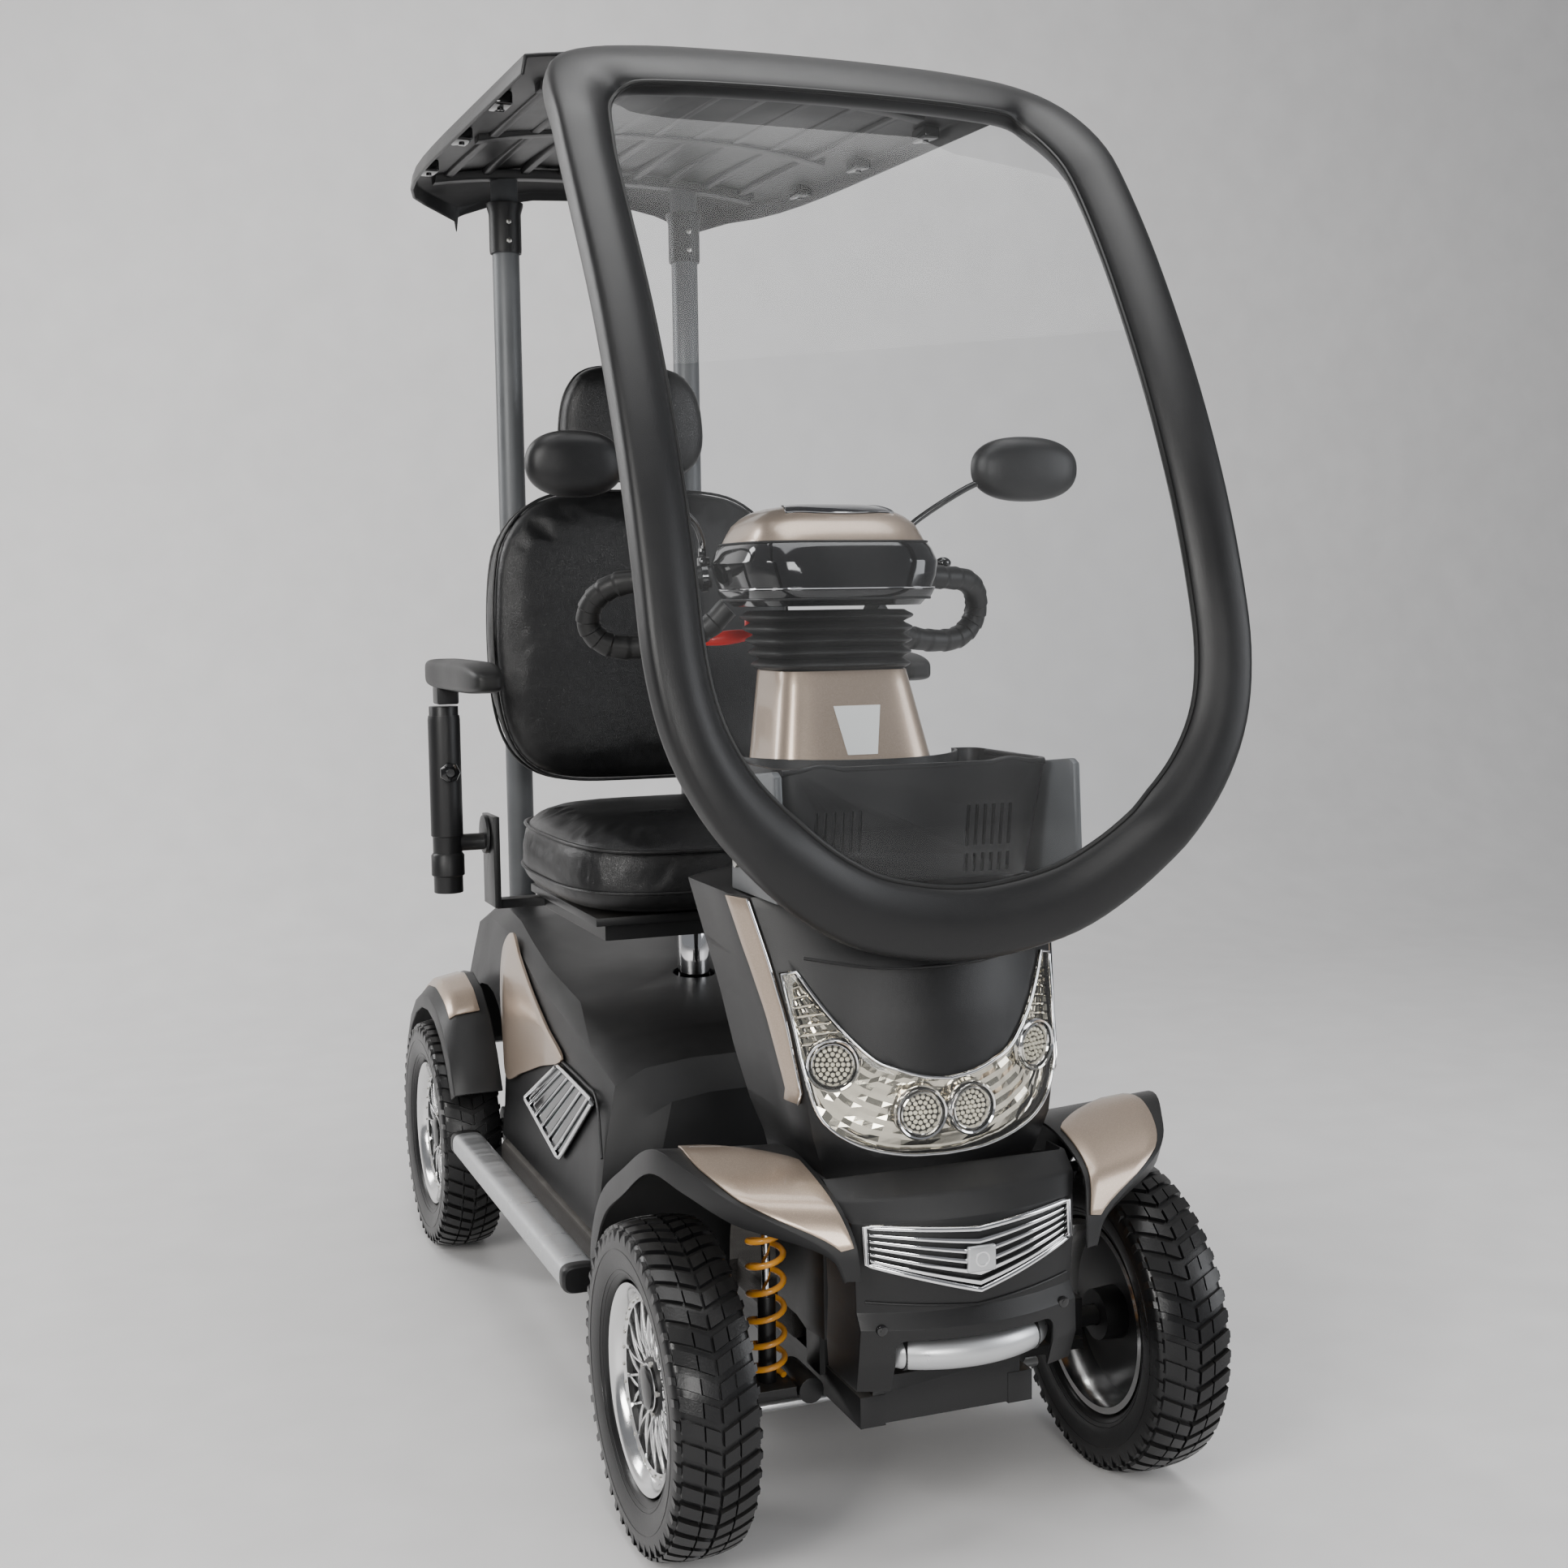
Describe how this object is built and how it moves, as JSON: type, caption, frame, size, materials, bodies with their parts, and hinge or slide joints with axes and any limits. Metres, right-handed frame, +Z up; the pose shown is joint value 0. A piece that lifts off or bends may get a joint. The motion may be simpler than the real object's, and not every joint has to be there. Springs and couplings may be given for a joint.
{
  "type": "mobility scooter",
  "caption": "Four-wheeled electric mobility scooter with tilting tiller, swivel captain's seat, front basket and a hooped windscreen canopy.",
  "frame": {"origin": "on the ground under the middle of the machine", "axes": "+Z up, the scooter faces -Y, the rider's right hand is at -X"},
  "size_m": [0.734, 1.5965, 1.768],
  "materials": {
    "champagne_paint": "satin metallic",
    "matte_black": "fine grained moulded",
    "gloss_black": "gloss moulded",
    "grey_paint": "satin powder coat",
    "frame_black": "powder coat",
    "satin_silver": "satin anodised",
    "chrome": "polished",
    "alloy": "machined and polished",
    "tyre_rubber": "treaded rubber",
    "leather_black": "grained leatherette",
    "spring_orange": "powder coat",
    "lever_red": "moulded",
    "clear_plastic": "clear acrylic",
    "gaiter_rubber": "moulded bellows",
    "deck_grey": "textured",
    "battery_case": "moulded"
  },
  "bodies": {
    "root": {"chassis_frame": "frame_black", "floor_deck": "deck_grey", "battery_pack": "battery_case", "rear_body_cover": "matte_black", "side_panel_right": "champagne_paint", "side_panel_left": "champagne_paint", "front_cowl": "matte_black", "headlight": "clear_plastic", "front_nose": "matte_black", "front_grille": "chrome", "bumper_bar": "satin_silver", "front_fender_right": "matte_black", "front_fender_left": "matte_black", "rear_fender_right": "matte_black", "rear_fender_left": "matte_black", "step_bar_right": "satin_silver", "step_bar_left": "satin_silver", "rear_bumper": "matte_black", "seat_post": "chrome", "canopy_hoop": "matte_black", "canopy_roof": "matte_black", "canopy_post_right": "grey_paint", "canopy_post_left": "grey_paint", "windscreen": "clear_plastic", "basket": "matte_black"},
    "steering": {"steering_column": "frame_black", "column_cover": "champagne_paint"},
    "tiller": {"tiller_head": "gloss_black", "tiller_visor": "champagne_paint", "gaiter": "gaiter_rubber", "handle_right": "matte_black", "handle_left": "matte_black"},
    "brake": {"brake_lever": "gloss_black"},
    "tilt_catch": {"tilt_lever": "lever_red"},
    "throttle": {"throttle_paddle": "matte_black"},
    "mirror_right": {"mirror_right": "gloss_black"},
    "mirror_left": {"mirror_left": "gloss_black"},
    "tie_rod": {"tie_rod": "satin_silver"},
    "rear_drive": {"transaxle": "frame_black"},
    "seat_swivel": {"seat_swivel": "frame_black"},
    "seat": {"seat_frame": "frame_black", "seat_cushion": "leather_black"},
    "backrest": {"backrest": "leather_black"},
    "headrest": {"headrest": "leather_black"},
    "front_arm_right": {"front_arm_right": "frame_black", "front_spring_right": "spring_orange"},
    "knuckle_right": {"knuckle_right": "frame_black"},
    "wheel_front_right": {"tyre_front_right": "tyre_rubber", "rim_front_right": "alloy"},
    "wheel_rear_right": {"tyre_rear_right": "tyre_rubber", "rim_rear_right": "alloy"},
    "arm_pad_right": {"armrest_pad_right": "matte_black"},
    "front_arm_left": {"front_arm_left": "frame_black", "front_spring_left": "spring_orange"},
    "knuckle_left": {"knuckle_left": "frame_black"},
    "wheel_front_left": {"tyre_front_left": "tyre_rubber", "rim_front_left": "alloy"},
    "wheel_rear_left": {"tyre_rear_left": "tyre_rubber", "rim_rear_left": "alloy"},
    "arm_pad_left": {"armrest_pad_left": "matte_black"}
  },
  "joints": [
    {"name": "steering", "type": "hinge", "parent": "root", "child": "steering", "pos_m": [0, -0.46241, 0.6], "axis": [0, 0.2164, 0.9763], "range_deg": [-30, 30]},
    {"name": "tiller_tilt", "type": "hinge", "parent": "steering", "child": "tiller", "pos_m": [0, -0.37927, 0.975], "axis": [-1, 0, 0], "range_deg": [-20, 25], "deforming": ["gaiter"]},
    {"name": "brake_pull", "type": "hinge", "parent": "tiller", "child": "brake", "pos_m": [0.115, -0.23727, 1.1], "axis": [0, 0, 1], "range_deg": [0, 15], "stiffness_Nm_per_rad": 0.8},
    {"name": "tilt_release", "type": "hinge", "parent": "tiller", "child": "tilt_catch", "pos_m": [-0.05, -0.22927, 1.02], "axis": [0, 1, 0], "range_deg": [0, 14], "stiffness_Nm_per_rad": 0.5},
    {"name": "throttle_rock", "type": "hinge", "parent": "tiller", "child": "throttle", "pos_m": [0, -0.22927, 1.077], "axis": [0, 0, 1], "range_deg": [-9, 9], "stiffness_Nm_per_rad": 0.5},
    {"name": "tie_rod_shift", "type": "slide", "parent": "root", "child": "tie_rod", "axis": [1, 0, 0], "range_m": [-0.032, 0.032]},
    {"name": "rear_swing", "type": "hinge", "parent": "root", "child": "rear_drive", "pos_m": [0, 0.256, 0.243], "axis": [1, 0, 0], "range_deg": [-3.5, 3.5], "stiffness_Nm_per_rad": 6000, "springref_deg": -1.72},
    {"name": "seat_turn", "type": "hinge", "parent": "root", "child": "seat_swivel", "pos_m": [0, 0.17, 0.5753], "axis": [0, 0, 1], "range_deg": [-90, 90]},
    {"name": "seat_slide", "type": "slide", "parent": "seat_swivel", "child": "seat", "axis": [0, 1, 0], "range_m": [-0.05, 0.05]},
    {"name": "backrest_recline", "type": "hinge", "parent": "seat", "child": "backrest", "pos_m": [0, 0.355, 0.7], "axis": [-1, 0, 0], "range_deg": [-20, 8]},
    {"name": "headrest_height", "type": "slide", "parent": "backrest", "child": "headrest", "axis": [0, 0.0698, 0.9976], "range_m": [0, 0.06]},
    {"name": "mirror_turn_right", "type": "hinge", "parent": "tiller", "child": "mirror_right", "pos_m": [-0.1335, -0.29427, 1.104], "axis": [0, 0, 1], "range_deg": [-20, 20]},
    {"name": "front_suspension_right", "type": "hinge", "parent": "root", "child": "front_arm_right", "pos_m": [-0.128, -0.575, 0.165], "axis": [0, 1, 0], "range_deg": [-8, 7], "stiffness_Nm_per_rad": 900, "springref_deg": -2.86, "deforming": ["front_spring_right"]},
    {"name": "kingpin_right", "type": "hinge", "parent": "front_arm_right", "child": "knuckle_right", "pos_m": [-0.215, -0.575, 0.165], "axis": [0, 0, 1], "range_deg": [-31, 31]},
    {"name": "front_wheel_right", "type": "hinge", "parent": "knuckle_right", "child": "wheel_front_right", "pos_m": [-0.285, -0.575, 0.185], "axis": [1, 0, 0], "continuous": true},
    {"name": "rear_wheel_right", "type": "hinge", "parent": "rear_drive", "child": "wheel_rear_right", "pos_m": [-0.292, 0.575, 0.185], "axis": [1, 0, 0], "continuous": true},
    {"name": "arm_pad_lift_right", "type": "hinge", "parent": "seat", "child": "arm_pad_right", "pos_m": [-0.33, 0.35, 0.898], "axis": [-1, 0, 0], "range_deg": [0, 90]},
    {"name": "mirror_turn_left", "type": "hinge", "parent": "tiller", "child": "mirror_left", "pos_m": [0.1335, -0.29427, 1.104], "axis": [0, 0, 1], "range_deg": [-20, 20]},
    {"name": "front_suspension_left", "type": "hinge", "parent": "root", "child": "front_arm_left", "pos_m": [0.128, -0.575, 0.165], "axis": [0, -1, 0], "range_deg": [-8, 7], "stiffness_Nm_per_rad": 900, "springref_deg": -2.86, "deforming": ["front_spring_left"]},
    {"name": "kingpin_left", "type": "hinge", "parent": "front_arm_left", "child": "knuckle_left", "pos_m": [0.215, -0.575, 0.165], "axis": [0, 0, 1], "range_deg": [-31, 31]},
    {"name": "front_wheel_left", "type": "hinge", "parent": "knuckle_left", "child": "wheel_front_left", "pos_m": [0.285, -0.575, 0.185], "axis": [1, 0, 0], "continuous": true},
    {"name": "rear_wheel_left", "type": "hinge", "parent": "rear_drive", "child": "wheel_rear_left", "pos_m": [0.292, 0.575, 0.185], "axis": [1, 0, 0], "continuous": true},
    {"name": "arm_pad_lift_left", "type": "hinge", "parent": "seat", "child": "arm_pad_left", "pos_m": [0.33, 0.35, 0.898], "axis": [-1, 0, 0], "range_deg": [0, 90]}
  ],
  "couplings": [
    {"joint": "tie_rod_shift", "follows": "steering", "m_per_rad": -0.056},
    {"joint": "kingpin_right", "follows": "steering", "ratio": 1},
    {"joint": "kingpin_left", "follows": "steering", "ratio": 1}
  ]
}
